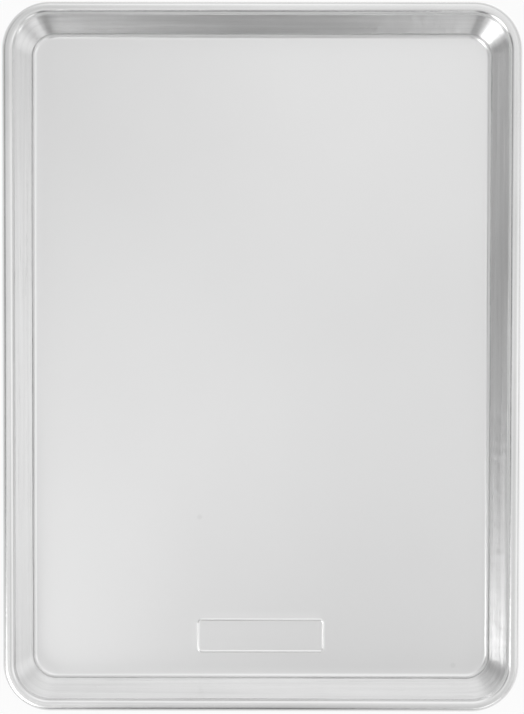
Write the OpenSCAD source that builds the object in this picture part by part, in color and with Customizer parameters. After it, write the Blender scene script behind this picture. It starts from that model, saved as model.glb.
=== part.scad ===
// Jelly roll pan: one pressed aluminium sheet whose edge is rolled over a steel wire.
// The origin is at the middle of the underside of the floor, with the long side along Y.

/* [Overall size] */
// Length over the rim
pan_length = 400; // [280:1:600]
// Width over the rim
pan_width = 292; // [200:1:450]
// Height from the underside of the floor to the top of the rim
pan_height = 26; // [16:0.5:40]
// Radius of the corners, seen from above, along the outside of the rim
corner_radius = 27; // [18:0.5:60]

/* [Sheet] */
// Thickness of the sheet
sheet = 1; // [0.6:0.1:1.5]
// Inside radius of the bend between floor and wall
floor_bend = 2.5; // [1:0.5:6]
// Lean of the walls from upright, in degrees
wall_lean = 18; // [5:1:25]

/* [Rolled rim] */
// Thickness of the wire inside the rim
wire_thickness = 3.5; // [2.5:0.1:5]
// Width of the flat stretch along the top of the rim
rim_flat = 1.4; // [0.4:0.1:3]
// Play between the wire and the sheet rolled round it
wire_play = 0.05; // [0.02:0.01:0.2]
// Gap between the sheet's tucked end and the wall
tuck_gap = 0.3; // [0.1:0.05:0.6]
// Gap between the two ends of the wire
wire_end_gap = 0.8; // [0.2:0.1:5]

/* [Pressed border on the floor] */
// Length of the border, across the pan
border_length = 73.5; // [40:0.5:120]
// Width of the border, along the pan
border_width = 19.5; // [12:0.5:40]
// Width of the raised line
border_line = 0.9; // [0.5:0.1:2]
// Height of the raised line
border_rise = 0.35; // [0.1:0.05:0.5]
// Outer radius of the border's corners
border_corner = 2.4; // [2.1:0.1:5]
// Distance from the border to the nearer edge of the flat floor
border_inset = 12; // [4:0.5:40]

/* [Hidden] */
$fn = 96;
// Points along a quarter turn of a bend
bend_points = 10;

// Radii of the curl round the wire: of its inner face, its middle and its outer face
curl_inner = wire_thickness / 2 + wire_play;
curl_middle = curl_inner + sheet / 2;
curl_outer = curl_inner + sheet;

// Radii of the same faces at the bend between floor and wall
bend_middle = floor_bend + sheet / 2;
bend_outer = floor_bend + sheet;

// The section lies outwards from the line of the corner centres, at its height above the table
curl_height = pan_height - curl_outer;
bend_height = sheet + floor_bend;
wall_rise = curl_height - bend_height + (curl_middle + bend_middle) * sin(wall_lean);
wall_run = wall_rise * tan(wall_lean) + (curl_middle + bend_middle) * cos(wall_lean);
rim_centre = [corner_radius - curl_outer, curl_height];
curl_centre = rim_centre - [rim_flat, 0];
bend_centre = [curl_centre.x - wall_run, bend_height];

// Places of the corner centres and of the border
centre_x = pan_width / 2 - corner_radius;
centre_y = pan_length / 2 - corner_radius;
border_y = border_inset + border_width / 2 - centre_y - bend_centre.x;

// Outward place of the wall's outer face at a height
function wall_face(height) =
    curl_centre.x - curl_inner / cos(wall_lean) + (height - curl_height) * tan(wall_lean);

// Points along an arc, from one angle to another
function arc(centre, radius, start, end) =
    let(steps = ceil(abs(end - start) / 90 * bend_points))
    [for (i = [0 : steps]) let(angle = start + (end - start) * i / steps)
        centre + radius * [cos(angle), sin(angle)]];

// The sheet's end, tucked under the wire and cut to lie along the wall
function tucked_end() =
    [for (height = [curl_height - curl_inner, curl_height - curl_outer])
        [wall_face(height) + tuck_gap, height]];

// The sheet's section: along its lower face to the tucked end, and back along its upper face
module sheet_section() {
    polygon(concat(
        [[0, 0]],
        arc(bend_centre, bend_outer, -90, -wall_lean),
        arc(curl_centre, curl_inner, 180 - wall_lean, 90),
        arc(rim_centre, curl_inner, 90, -90),
        tucked_end(),
        arc(rim_centre, curl_outer, -90, 90),
        arc(curl_centre, curl_outer, 90, 180 - wall_lean),
        arc(bend_centre, floor_bend, -wall_lean, -90),
        [[0, sheet]]
    ));
}

// The wire's section, midway along the flat stretch of the rim
module wire_section() {
    translate((curl_centre + rim_centre) / 2) circle(d = wire_thickness);
}

// Carries a section round the pan: four straight sides and four corners
module around_pan() {
    for (side = [0 : 3]) {
        across = side % 2 == 0 ? centre_x : centre_y;
        along = side % 2 == 0 ? centre_y : centre_x;
        rotate([0, 0, 90 * side]) {
            translate([across, 0, 0])
                rotate([90, 0, 0])
                    linear_extrude(height = 2 * along, center = true) children();
            translate([across, along, 0])
                rotate_extrude(angle = 90) children();
        }
    }
}

// A flat outline with round corners
module rounded_outline(length, width, corner) {
    square([length - 2 * corner, width], center = true);
    square([length, width - 2 * corner], center = true);
    for (x = [-1, 1], y = [-1, 1])
        translate([x * (length / 2 - corner), y * (width / 2 - corner)]) circle(corner);
}

// The border's line, as high as the sheet is raised there
module border_ring() {
    inner_length = border_length - 2 * border_line;
    inner_width = border_width - 2 * border_line;
    translate([0, border_y, 0])
        linear_extrude(height = border_rise)
            difference() {
                rounded_outline(border_length, border_width, border_corner);
                rounded_outline(inner_length, inner_width, border_corner - border_line);
            }
}

// The pressed sheet: floor, walls, rolled rim and the border pushed up from below
module pan_shell() {
    color([0.80, 0.80, 0.80])
        difference() {
            union() {
                translate([-centre_x, -centre_y, 0])
                    cube([2 * centre_x, 2 * centre_y, sheet]);
                around_pan() sheet_section();
                translate([0, 0, sheet]) border_ring();
            }
            border_ring();
        }
}

// The wire hoop inside the rolled rim, its ends facing each other at the middle of a long side
module rim_wire() {
    color([0.62, 0.63, 0.64])
        difference() {
            around_pan() wire_section();
            translate([centre_x, -wire_end_gap / 2, 0])
                cube([corner_radius, wire_end_gap, pan_height]);
        }
}

pan_shell();
rim_wire();
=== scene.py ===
"""Looks of the jelly roll pan: one pressed aluminium sheet, its edge rolled over a steel wire."""

import math

import bpy
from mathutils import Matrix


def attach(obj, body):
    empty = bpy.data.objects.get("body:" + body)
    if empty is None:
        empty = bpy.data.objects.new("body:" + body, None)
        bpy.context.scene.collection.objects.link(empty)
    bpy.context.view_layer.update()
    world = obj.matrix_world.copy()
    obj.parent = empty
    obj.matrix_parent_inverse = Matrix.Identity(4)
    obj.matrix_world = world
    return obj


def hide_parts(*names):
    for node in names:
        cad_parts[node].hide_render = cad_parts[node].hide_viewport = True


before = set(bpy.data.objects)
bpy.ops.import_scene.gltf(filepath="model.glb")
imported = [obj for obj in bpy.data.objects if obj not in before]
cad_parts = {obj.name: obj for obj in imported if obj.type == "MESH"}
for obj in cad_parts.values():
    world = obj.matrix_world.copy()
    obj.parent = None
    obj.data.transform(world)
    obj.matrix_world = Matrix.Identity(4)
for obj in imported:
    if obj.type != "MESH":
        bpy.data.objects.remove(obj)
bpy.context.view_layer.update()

MM = 0.001

# Sizes of the pan, in millimetres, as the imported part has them
PAN_LENGTH = 400.0
PAN_WIDTH = 292.0
PAN_HEIGHT = 26.0
CORNER_RADIUS = 27.0
SHEET = 1.0
FLOOR_BEND = 2.5
WALL_LEAN = math.radians(18)
CURL_INNER = 1.8
CURL_OUTER = 2.8
RIM_FLAT = 1.4
TUCK_GAP = 0.3
BORDER_LENGTH = 73.5
BORDER_WIDTH = 19.5
BORDER_LINE = 0.9
BORDER_RISE = 0.35
BORDER_CORNER = 2.4
BORDER_INSET = 12.0

# Places that follow from them, outwards from the line of the corner centres
CENTRE_X = PAN_WIDTH / 2 - CORNER_RADIUS
CENTRE_Y = PAN_LENGTH / 2 - CORNER_RADIUS
BEND_OUTER = FLOOR_BEND + SHEET
CURL_Z = PAN_HEIGHT - CURL_OUTER
BEND_Z = SHEET + FLOOR_BEND
CURL_MIDDLE = CURL_INNER + SHEET / 2
BEND_MIDDLE = FLOOR_BEND + SHEET / 2
WALL_RISE = CURL_Z - BEND_Z + (CURL_MIDDLE + BEND_MIDDLE) * math.sin(WALL_LEAN)
WALL_RUN = WALL_RISE * math.tan(WALL_LEAN) + (CURL_MIDDLE + BEND_MIDDLE) * math.cos(WALL_LEAN)
RIM_U = CORNER_RADIUS - CURL_OUTER
CURL_U = RIM_U - RIM_FLAT
BEND_U = CURL_U - WALL_RUN
BORDER_Y = BORDER_INSET + BORDER_WIDTH / 2 - CENTRE_Y - BEND_U

# What the press leaves beyond the plain form, in millimetres
FLOOR_CROWN = 0.5
WALL_RIPPLE = 0.35
RIDGE_SPREAD = 0.85 * BORDER_LINE

# Points of the mesh nearer than this are one, and the least length that is divided by, in metres
MERGE_DISTANCE = 1e-5
NEAR_NOTHING = 1e-6

# Heights between which one finish gives way to the next, in millimetres
FLOOR_FADE = (2.0, 4.5)
RIM_FADE = (23.0, 24.5)

# Finish of the aluminium; a pattern has finer marks where it is stretched by a larger number
ALUMINIUM_GREY = 0.86
FLOOR_ROUGHNESS = 0.3
WALL_ROUGHNESS = 0.2
STREAK_STRETCH = (6.0, 6.0, 280.0)
GRAIN_STRETCH = (2600.0, 60.0, 200.0)
CORNER_STRETCH = (160.0, 160.0, 30.0)
ALUMINIUM_BUMP = (0.6, 0.0013)

# Finish of the zinc-coated wire
ZINC_GREY = 0.5
ZINC_ROUGHNESS = 0.42
ZINC_BUMP = (0.2, 0.0001)

# The camera's fit to the photograph, in metres and degrees, its sensor along the picture's height
CAMERA_SENSOR = 36.0
CAMERA_LENS = 68.10
CAMERA_PLACE = (0.00209, 0.01746, 0.785)
CAMERA_TURN = (-1.252, 0.13, 0.09)

# Brightness of the room, and the table
WORLD_LEVEL = 0.85
WHITE = (1, 1, 1, 1)
TABLE_GREY = (0.94, 0.94, 0.94, 1)
TABLE_WHITE_SHARE = 0.88
TABLE_REACH = 4
TABLE_DROP = -0.0002


class Field:
    """A socket that can be written in sums, so that 1 - mask adds its Math node."""

    def __init__(self, graph, socket):
        self.graph = graph
        self.socket = socket

    def __add__(self, other):
        return self.graph.math("ADD", self, other)

    def __sub__(self, other):
        return self.graph.math("SUBTRACT", self, other)

    def __rsub__(self, other):
        return self.graph.math("SUBTRACT", other, self)

    def __mul__(self, other):
        return self.graph.math("MULTIPLY", self, other)

    def __truediv__(self, other):
        return self.graph.math("DIVIDE", self, other)

    __radd__ = __add__
    __rmul__ = __mul__


class Graph:
    """Adds nodes to one node tree."""

    def __init__(self, tree):
        self.tree = tree

    def node(self, kind, settings=None, sockets=None):
        """A node of this type: its settings first, then the values or links of its sockets."""
        made = self.tree.nodes.new(kind)
        for name, value in (settings or {}).items():
            setattr(made, name, value)
        for key, value in (sockets or {}).items():
            self.join(made.inputs[key], value)
        return made

    def field(self, kind, settings=None, sockets=None, output=0):
        """One output of a new node, ready for sums."""
        return Field(self, self.node(kind, settings, sockets).outputs[output])

    def join(self, socket, value):
        if isinstance(value, Field):
            self.tree.links.new(value.socket, socket)
        elif isinstance(value, bpy.types.NodeSocket):
            self.tree.links.new(value, socket)
        else:
            socket.default_value = value

    def math(self, operation, *values):
        return self.field("ShaderNodeMath", {"operation": operation}, dict(enumerate(values)))

    def clamp(self, value, low, high):
        return self.math("MINIMUM", self.math("MAXIMUM", value, low), high)

    def smooth(self, value, low, high):
        """0 below low, 1 above high, with a smooth step between them."""
        return self.field(
            "ShaderNodeMapRange",
            {"interpolation_type": "SMOOTHSTEP"},
            {"Value": value, "From Min": low, "From Max": high},
        )

    def bell(self, value, middle, width):
        """A smooth hump of height 1 about the middle, gone at width away from it."""
        away = self.math("ABSOLUTE", value - middle)
        return 1 - self.smooth(away, 0.0, width)

    def noise(self, vector, scale, detail=2.0, roughness=0.5):
        return self.field(
            "ShaderNodeTexNoise",
            {"noise_dimensions": "3D"},
            {"Vector": vector, "Scale": scale, "Detail": detail, "Roughness": roughness},
        )

    def stretched(self, vector, factors):
        """The vector with each of its three parts multiplied by its own factor."""
        return self.field("ShaderNodeVectorMath", {"operation": "MULTIPLY"}, {0: vector, 1: factors})

    def vector(self, x, y, z):
        return self.field("ShaderNodeCombineXYZ", None, {"X": x, "Y": y, "Z": z})

    def parts(self, vector):
        """The three parts of a vector."""
        split = self.node("ShaderNodeSeparateXYZ", None, {0: vector})
        return [Field(self, output) for output in split.outputs]


def new_material(name):
    """A node material emptied of its first nodes, and the graph that fills it."""
    material = bpy.data.materials.new(name)
    material.use_nodes = True
    material.node_tree.nodes.clear()
    return material, Graph(material.node_tree)


def metal_material(name, colour, roughness, height, bump_size):
    """A metal whose colour, roughness and bump height come from three functions of the place."""
    material, graph = new_material(name)
    place = Field(graph, graph.node("ShaderNodeTexCoord").outputs["Object"])
    strength, distance = bump_size
    bump = graph.field(
        "ShaderNodeBump",
        None,
        {"Strength": strength, "Distance": distance, "Height": height(graph, place)},
    )
    shader = graph.node(
        "ShaderNodeBsdfPrincipled",
        None,
        {
            "Metallic": 1.0,
            "Base Color": colour(graph, place),
            "Roughness": roughness(graph, place),
            "Normal": bump,
        },
    )
    graph.node("ShaderNodeOutputMaterial", None, {"Surface": shader.outputs[0]})
    return material


def floor_share(graph, place):
    """1 on the flat of the floor and 0 on the walls and the rim."""
    height = graph.parts(place)[2]
    return 1 - graph.smooth(height, FLOOR_FADE[0] * MM, FLOOR_FADE[1] * MM)


def rim_share(graph, place):
    """1 on the rolled rim and 0 below it."""
    height = graph.parts(place)[2]
    return graph.smooth(height, RIM_FADE[0] * MM, RIM_FADE[1] * MM)


def drawing_streaks_and_painted_reflections(graph, place):
    """Level streaks that the press leaves along the walls; in the colour the same pattern also stands for
    painted streak reflections.
    """
    return graph.noise(graph.stretched(place, STREAK_STRETCH), 1.0, 4.0, 0.6)


def rolling_grain(graph, place):
    """Fine grain along the pan, from the rolling mill."""
    return graph.noise(graph.stretched(place, GRAIN_STRETCH), 1.0, 3.0, 0.6)


def rub_marks(graph, place):
    """1 on a few small rubs on the floor, from stacking."""
    spots = graph.field(
        "ShaderNodeTexVoronoi", {"feature": "F1"}, {"Vector": place, "Scale": 26.0, "Randomness": 1.0}
    )
    return 1 - graph.smooth(spots, 0.02, 0.055)


def aluminium_colour(graph, place):
    """Soft clouds of grey, streaked on the walls with drawing streaks and painted streak reflections, and
    darker at the rubs and along the rim.
    """
    clouds = graph.noise(place, 9.0, 2.0)
    streaks = drawing_streaks_and_painted_reflections(graph, place)
    on_floor = floor_share(graph, place)
    # On the walls the streak pattern lightens and darkens the grey: drawing streaks, with painted streak
    # reflections on top of them
    tone = ALUMINIUM_GREY + (clouds - 0.5) * 0.05 + (streaks - 0.5) * 0.32 * (1 - on_floor)
    marked = tone - rub_marks(graph, place) * on_floor * 0.05 - rim_share(graph, place) * 0.05
    return graph.vector(marked, marked, marked)


def aluminium_roughness(graph, place):
    """Satin on the floor, and glossier in streaks on the walls, where the press drew the sheet."""
    on_floor = floor_share(graph, place)
    on_rim = rim_share(graph, place)
    clouds = graph.noise(place, 14.0, 3.0)
    streaks = drawing_streaks_and_painted_reflections(graph, place)
    walls = WALL_ROUGHNESS + (streaks - 0.5) * 0.2
    floor = FLOOR_ROUGHNESS + (clouds - 0.5) * 0.08
    return walls + (floor - walls) * on_floor + on_rim * 0.04


def aluminium_height(graph, place):
    """Rolling grain on the floor, drawing streaks on the walls, and less of both on the rim."""
    on_floor = floor_share(graph, place)
    grain = rolling_grain(graph, place) * 0.5
    streaks = drawing_streaks_and_painted_reflections(graph, place)
    corners = graph.noise(graph.stretched(place, CORNER_STRETCH), 1.0, 2.0)
    drawn = (streaks * 0.9 + corners * 0.3) * (1 - on_floor)
    return grain * on_floor * 0.035 + drawn * (1 - rim_share(graph, place) * 0.75)


def zinc_colour(graph, place):
    """Dull bluish grey, faintly spangled."""
    spangle = graph.noise(place, 420.0, 2.0)
    tone = ZINC_GREY + (spangle - 0.5) * 0.16
    return graph.vector(tone, tone + 0.004, tone + 0.012)


def zinc_roughness(graph, place):
    """Uneven, as a dipped coating is."""
    return ZINC_ROUGHNESS + (graph.noise(place, 900.0, 2.0) - 0.5) * 0.2


def zinc_height(graph, place):
    """The coating's fine grain."""
    return graph.noise(place, 1500.0, 2.0)


def arc(centre, radius, start, end, steps):
    """Points along an arc, from one angle to another, in degrees."""
    angles = [math.radians(start + (end - start) * step / steps) for step in range(steps + 1)]
    return [(centre[0] + radius * math.cos(a), centre[1] + radius * math.sin(a)) for a in angles]


def divided(start, end, steps):
    """Points between two ends, without the ends."""
    shares = [step / steps for step in range(1, steps)]
    return [tuple(a + (b - a) * share for a, b in zip(start, end)) for share in shares]


def sheet_section():
    """The sheet's section: along its lower face to the tucked end, and back along its upper face."""
    lean = math.degrees(WALL_LEAN)
    bend = (BEND_U, BEND_Z)
    curl = (CURL_U, CURL_Z)
    rim = (RIM_U, CURL_Z)
    lower_bend = arc(bend, BEND_OUTER, -90, -lean, 10)
    curl_inside = arc(curl, CURL_INNER, 180 - lean, 90, 7)
    rim_inside = arc(rim, CURL_INNER, 90, -90, 14)
    tucked = []
    for height in (CURL_Z - CURL_INNER, CURL_Z - CURL_OUTER):
        wall = CURL_U - CURL_INNER / math.cos(WALL_LEAN) + (height - CURL_Z) * math.tan(WALL_LEAN)
        tucked.append((wall + TUCK_GAP, height))
    rim_outside = arc(rim, CURL_OUTER, -90, 90, 20)
    curl_outside = arc(curl, CURL_OUTER, 90, 180 - lean, 8)
    upper_bend = arc(bend, FLOOR_BEND, -lean, -90, 10)
    points = [(0.0, 0.0)] + divided((0.0, 0.0), lower_bend[0], 3) + lower_bend
    points += divided(lower_bend[-1], curl_inside[0], 8) + curl_inside
    points += rim_inside + tucked + rim_outside
    points += curl_outside + divided(curl_outside[-1], upper_bend[0], 8) + upper_bend
    points += divided(upper_bend[-1], (0.0, SHEET), 3) + [(0.0, SHEET)]
    return points


def ruler_steps(marks):
    """(number of steps, length of a step) for each stretch between (place, steps to the next) marks."""
    stretches = []
    for (here, steps), (after, _) in zip(marks, marks[1:]):
        stretches.append((steps, (after - here) / steps))
    return stretches


# Lines of the floor's mesh, close together where the pressed border runs
BORDER_BAND = 3.3
BAND_MARGIN = 0.4
BAND_STEPS = 18
X_EDGE = BORDER_LENGTH / 2 + BAND_MARGIN
X_MARKS = [
    (-CENTRE_X, 20), (-X_EDGE, BAND_STEPS), (-X_EDGE + BORDER_BAND, 16),
    (X_EDGE - BORDER_BAND, BAND_STEPS), (X_EDGE, 20), (CENTRE_X, 0),
]
Y_LOW = BORDER_Y - BORDER_WIDTH / 2 - BAND_MARGIN
Y_HIGH = BORDER_Y + BORDER_WIDTH / 2 + BAND_MARGIN
Y_MARKS = [
    (-CENTRE_Y, 2), (Y_LOW, BAND_STEPS), (Y_LOW + BORDER_BAND, 4),
    (Y_HIGH - BORDER_BAND, BAND_STEPS), (Y_HIGH, 76), (CENTRE_Y, 0),
]
X_STEPS = sum(mark[1] for mark in X_MARKS)
Y_STEPS = sum(mark[1] for mark in Y_MARKS)
CORNER_STEPS = 28


def ruler(graph, index, marks):
    """The place of a mesh line, by its number."""
    place = marks[0][0] * MM
    done = 0
    for steps, length in ruler_steps(marks):
        place = graph.clamp(index - done, 0, steps) * (length * MM) + place
        done += steps
    return place


def grid_numbers(graph, columns, rows):
    """A grid of quads, and the column and row number of each of its points."""
    grid = graph.node("GeometryNodeMeshGrid", None, {"Vertices X": columns, "Vertices Y": rows})
    index = graph.field("GeometryNodeInputIndex")
    column = graph.math("FLOOR", (index + 0.5) / rows)
    return grid.outputs["Mesh"], column, index - column * rows


def carried_round(graph, section, count):
    """The section carried round the pan: up the right side and on to the left, ending where it began."""
    sides = (Y_STEPS, X_STEPS, Y_STEPS, X_STEPS)
    starts = [sum(sides[:side]) + side * CORNER_STEPS for side in range(5)]
    mesh, along, across = grid_numbers(graph, starts[4] + 1, count)
    up = graph.clamp(along - starts[0], 0, Y_STEPS) - graph.clamp(along - starts[2], 0, Y_STEPS)
    left = graph.clamp(along - starts[1], 0, X_STEPS) - graph.clamp(along - starts[3], 0, X_STEPS)
    quarter = 0.0
    for side, steps in enumerate(sides):
        quarter = graph.clamp((along - (starts[side] + steps)) / CORNER_STEPS, 0, 1) + quarter
    angle = quarter * (math.pi / 2)
    sampled = graph.node(
        "GeometryNodeSampleIndex", {"data_type": "FLOAT_VECTOR", "domain": "POINT"}, {"Geometry": section}
    )
    graph.join(sampled.inputs["Value"], graph.field("GeometryNodeInputPosition"))
    graph.join(sampled.inputs["Index"], across)
    out, _, height = graph.parts(Field(graph, sampled.outputs[0]))
    x = ruler(graph, X_STEPS - left, X_MARKS) + out * graph.math("COSINE", angle)
    y = ruler(graph, up, Y_MARKS) + out * graph.math("SINE", angle)
    at = graph.vector(x, y, height)
    return graph.node("GeometryNodeSetPosition", None, {"Geometry": mesh, "Position": at}).outputs[0]


def floor_face(graph, height):
    """One face of the flat floor inside the corner centres."""
    mesh, column, row = grid_numbers(graph, X_STEPS + 1, Y_STEPS + 1)
    at = graph.vector(ruler(graph, column, X_MARKS), ruler(graph, row, Y_MARKS), height)
    return graph.node("GeometryNodeSetPosition", None, {"Geometry": mesh, "Position": at}).outputs[0]


def border_lift(graph, x, y, rise):
    """How far the pressed border lifts the sheet: a smooth ridge along a rectangle with round corners."""
    corner = (BORDER_CORNER - BORDER_LINE / 2) * MM
    half_x = (BORDER_LENGTH - BORDER_LINE) / 2 * MM - corner
    half_y = (BORDER_WIDTH - BORDER_LINE) / 2 * MM - corner
    side_x = graph.math("ABSOLUTE", x) - half_x
    side_y = graph.math("ABSOLUTE", y - BORDER_Y * MM) - half_y
    over_x = graph.math("MAXIMUM", side_x, 0.0)
    over_y = graph.math("MAXIMUM", side_y, 0.0)
    outside = graph.math("SQRT", over_x * over_x + over_y * over_y)
    inside = graph.math("MINIMUM", graph.math("MAXIMUM", side_x, side_y), 0.0)
    return graph.bell(outside + inside - corner, 0.0, RIDGE_SPREAD * MM) * rise


def add_socket(tree, name, kind, value=None):
    """A named input of a tree, with its usual value."""
    socket = tree.interface.new_socket(name, in_out="INPUT", socket_type=kind)
    if value is not None:
        socket.default_value = value


def closed_sheet(graph, given):
    """The plain sheet as one closed mesh: the section carried round, and both faces of the floor."""
    ring = carried_round(graph, given["Section"], Field(graph, given["Section Points"]))
    lower = graph.node("GeometryNodeFlipFaces", None, {"Mesh": floor_face(graph, 0.0)}).outputs[0]
    upper = floor_face(graph, Field(graph, given["Sheet Thickness"]))
    joined = graph.node("GeometryNodeJoinGeometry")
    for part in (ring, lower, upper):
        graph.tree.links.new(part, joined.inputs[0])
    merging = {"Geometry": joined.outputs[0], "Distance": MERGE_DISTANCE}
    return graph.node("GeometryNodeMergeByDistance", None, merging).outputs[0]


def floor_lift(graph, place, given):
    """How far the flat floor is lifted: a low uneven crown, and the pressed border."""
    x, y, z = graph.parts(place)
    flat = 1 - graph.smooth(z, 1.2 * MM, 3.0 * MM)
    span_x = graph.clamp(x / ((CENTRE_X + BEND_U) * MM), -1, 1)
    span_y = graph.clamp(y / ((CENTRE_Y + BEND_U) * MM), -1, 1)
    crown = (1 - span_x * span_x) * (1 - span_y * span_y) * Field(graph, given["Floor Crown"])
    buckle = graph.noise(graph.stretched(place, (1.0, 1.0, 0.0)), 11.0, 1.0)
    border = border_lift(graph, x, y, Field(graph, given["Border Rise"]))
    return (crown * (0.35 + buckle * 1.3) + border) * flat


def wall_shift(graph, place, given):
    """How far the middle of a wall lies in from its plain form, along x and along y."""
    x, y, z = graph.parts(place)
    on_wall = graph.smooth(z, 3.5 * MM, 11.0 * MM) * (1 - graph.smooth(z, 13.0 * MM, 20.0 * MM))
    ripple = graph.noise(graph.stretched(place, (22.0, 22.0, 10.0)), 1.0, 2.0)
    inward = on_wall * ripple * Field(graph, given["Wall Ripple"])
    reach_x = x - graph.clamp(x, -CENTRE_X * MM, CENTRE_X * MM)
    reach_y = y - graph.clamp(y, -CENTRE_Y * MM, CENTRE_Y * MM)
    reach = graph.math("SQRT", reach_x * reach_x + reach_y * reach_y) + NEAR_NOTHING
    return 0 - reach_x / reach * inward, 0 - reach_y / reach * inward


def sheet_tree():
    """The tree that presses the pan from its section, with named inputs for its sizes."""
    tree = bpy.data.node_groups.new("pressed_sheet", "GeometryNodeTree")
    add_socket(tree, "Section", "NodeSocketGeometry")
    add_socket(tree, "Section Points", "NodeSocketInt", 2)
    add_socket(tree, "Sheet Thickness", "NodeSocketFloat", SHEET * MM)
    add_socket(tree, "Border Rise", "NodeSocketFloat", BORDER_RISE * MM)
    add_socket(tree, "Floor Crown", "NodeSocketFloat", FLOOR_CROWN * MM)
    add_socket(tree, "Wall Ripple", "NodeSocketFloat", WALL_RIPPLE * MM)
    add_socket(tree, "Aluminium", "NodeSocketMaterial")
    tree.interface.new_socket("Pan", in_out="OUTPUT", socket_type="NodeSocketGeometry")
    graph = Graph(tree)
    given = graph.node("NodeGroupInput").outputs
    place = graph.field("GeometryNodeInputPosition")
    shift_x, shift_y = wall_shift(graph, place, given)
    offset = graph.vector(shift_x, shift_y, floor_lift(graph, place, given))
    moving = {"Geometry": closed_sheet(graph, given), "Offset": offset}
    shaped = graph.node("GeometryNodeSetPosition", None, moving)
    smooth = graph.node("GeometryNodeSetShadeSmooth", None, {"Geometry": shaped.outputs[0]})
    real = graph.node("GeometryNodeRealizeInstances", None, {"Geometry": smooth.outputs[0]})
    coated = graph.node(
        "GeometryNodeSetMaterial", None, {"Geometry": real.outputs[0], "Material": given["Aluminium"]}
    )
    graph.node("NodeGroupOutput", None, {0: coated.outputs[0]})
    return tree


def pressed_pan(aluminium):
    """The sheet as one closed mesh, pressed by its tree from the section's points."""
    section = sheet_section()
    mesh = bpy.data.meshes.new("section")
    mesh.from_pydata([(u * MM, 0.0, z * MM) for u, z in section], [], [])
    source = bpy.data.objects.new("section", mesh)
    bpy.context.scene.collection.objects.link(source)
    modifier = source.modifiers.new("pressed_sheet", "NODES")
    modifier.node_group = sheet_tree()
    inputs = {item.name: item.identifier for item in modifier.node_group.interface.items_tree}
    modifier[inputs["Section Points"]] = len(section)
    modifier[inputs["Aluminium"]] = aluminium
    source.update_tag()
    evaluated = source.evaluated_get(bpy.context.evaluated_depsgraph_get())
    made = bpy.data.meshes.new_from_object(evaluated)
    source.modifiers.remove(modifier)
    bpy.data.objects.remove(source)
    made.name = "pan_sheet"
    pan = bpy.data.objects.new("pan_sheet", made)
    bpy.context.scene.collection.objects.link(pan)
    return pan


def add_camera():
    """The photograph's view: nearly straight down."""
    data = bpy.data.cameras.new("view")
    data.sensor_width = CAMERA_SENSOR
    data.lens = CAMERA_LENS
    camera = bpy.data.objects.new("view", data)
    camera.location = CAMERA_PLACE
    camera.rotation_euler = tuple(math.radians(a) for a in CAMERA_TURN)
    bpy.context.scene.collection.objects.link(camera)
    bpy.context.scene.camera = camera


def seen_directly(graph):
    """1 for rays of the camera and for what metal or glass shows."""
    path = graph.node("ShaderNodeLightPath")
    kinds = ("Is Camera Ray", "Is Glossy Ray", "Is Transmission Ray")
    rays = [Field(graph, path.outputs[kind]) for kind in kinds]
    return graph.math("MAXIMUM", graph.math("MAXIMUM", rays[0], rays[1]), rays[2])


def add_world():
    """A white room that lights the table evenly."""
    world = bpy.data.worlds.new("studio")
    world.use_nodes = True
    world.node_tree.nodes.clear()
    graph = Graph(world.node_tree)
    strength = WORLD_LEVEL + seen_directly(graph) * (1 - WORLD_LEVEL)
    background = graph.node("ShaderNodeBackground", None, {"Color": WHITE, "Strength": strength})
    graph.node("ShaderNodeOutputWorld", None, {"Surface": background.outputs[0]})
    bpy.context.scene.world = world


def table_material():
    """A plain white table that keeps a soft shadow."""
    material, graph = new_material("white_table")
    lit = graph.node("ShaderNodeBsdfDiffuse", None, {"Color": TABLE_GREY})
    white = graph.node("ShaderNodeEmission", None, {"Color": WHITE, "Strength": 1.0})
    blend = graph.node("ShaderNodeMixShader", None, {0: seen_directly(graph) * TABLE_WHITE_SHARE})
    graph.join(blend.inputs[1], lit.outputs[0])
    graph.join(blend.inputs[2], white.outputs[0])
    graph.node("ShaderNodeOutputMaterial", None, {"Surface": blend.outputs[0]})
    return material


def add_table():
    """The table, a hair below the pan."""
    mesh = bpy.data.meshes.new("table")
    turns = ((-1, -1), (1, -1), (1, 1), (-1, 1))
    corners = [(x * TABLE_REACH, y * TABLE_REACH, TABLE_DROP) for x, y in turns]
    mesh.from_pydata(corners, [], [(0, 1, 2, 3)])
    mesh.materials.append(table_material())
    table = bpy.data.objects.new("table", mesh)
    bpy.context.scene.collection.objects.link(table)


# The tent: its radius in metres, its plain level, how much darker it is low down, its least level
TENT_RADIUS = 3.5
TENT_LEVEL = 0.95
HORIZON_DROP = 0.34
DARKEST_CARD = 0.1

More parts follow.
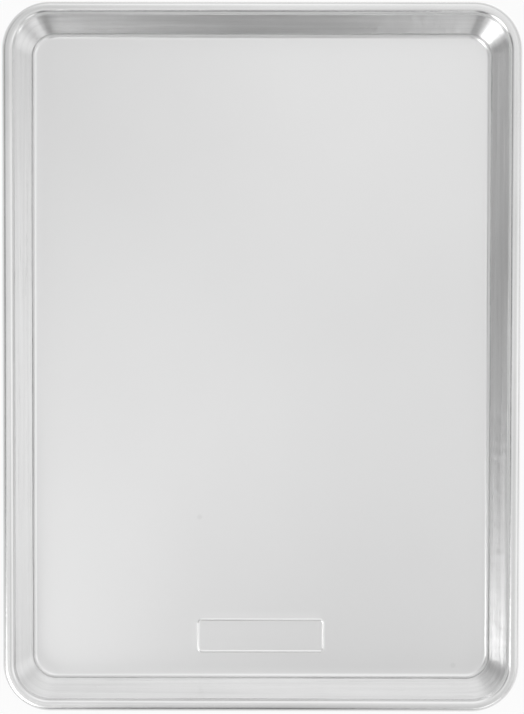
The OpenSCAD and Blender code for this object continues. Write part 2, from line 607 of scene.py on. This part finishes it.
# Soft boxes and grey cards on the tent, as (direction, spread, brightness added to its level)
CARDS = [
    ((-0.03, -0.72, 0.69), 0.64, -0.97),
    ((0.30, -0.66, 0.66), 0.26, 1.6),
    ((-0.72, 0.0, 0.69), 0.62, -0.81),
    ((-0.50, 0.50, 0.69), 0.42, -0.45),
    ((-0.52, -0.52, 0.68), 0.38, 5.2),
    ((0.55, -0.50, 0.66), 0.34, -0.60),
    ((0.70, 0.30, 0.65), 0.34, -0.30),
    ((0.72, -0.08, 0.69), 0.54, 0.20),
    ((0.0, 0.72, 0.69), 0.58, 0.16),
    ((0.0, 0.0, 1.0), 0.50, -0.04),
    ((0.16, -0.26, 0.95), 0.32, -0.19),
    ((0.25, 0.05, 0.97), 0.30, -0.18),
    ((-0.20, 0.25, 0.95), 0.32, -0.24),
]


def tent_material():
    """The inside of a light tent, with the grey cards and the soft boxes that metal shows."""
    material, graph = new_material("light_tent")
    place = Field(graph, graph.node("ShaderNodeTexCoord").outputs["Object"])
    unit = graph.field("ShaderNodeVectorMath", {"operation": "NORMALIZE"}, {0: place})
    level = TENT_LEVEL - (1 - graph.smooth(graph.parts(unit)[2], 0.05, 0.45)) * HORIZON_DROP
    for direction, spread, added in CARDS:
        length = math.sqrt(sum(part * part for part in direction))
        towards = tuple(part / length for part in direction)
        ends = {0: unit, 1: towards}
        away = graph.field("ShaderNodeVectorMath", {"operation": "DISTANCE"}, ends, "Value")
        level = (1 - graph.smooth(away, 0.0, spread)) * added + level
    strength = graph.math("MAXIMUM", level, DARKEST_CARD)
    glow = graph.node("ShaderNodeEmission", None, {"Color": WHITE, "Strength": strength})
    graph.node("ShaderNodeOutputMaterial", None, {"Surface": glow.outputs[0]})
    return material


def add_tent():
    """A dome that only reflections see, so that it neither hides the view nor lights the table."""
    bpy.ops.mesh.primitive_uv_sphere_add(segments=64, ring_count=32, radius=TENT_RADIUS)
    tent = bpy.context.object
    tent.name = "light_tent"
    tent.data.materials.append(tent_material())
    tent.visible_camera = False
    tent.visible_diffuse = False
    tent.visible_shadow = False
    tent.visible_transmission = False


bpy.context.scene.view_settings.view_transform = "Standard"
add_camera()
add_world()
add_table()
add_tent()

aluminium = metal_material(
    "pressed_aluminium", aluminium_colour, aluminium_roughness, aluminium_height, ALUMINIUM_BUMP
)
zinc = metal_material("zinc_coated_steel", zinc_colour, zinc_roughness, zinc_height, ZINC_BUMP)
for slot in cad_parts["rim_wire"].material_slots:
    slot.material = zinc

pan = pressed_pan(aluminium)
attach(pan, "root")
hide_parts("pan_shell")
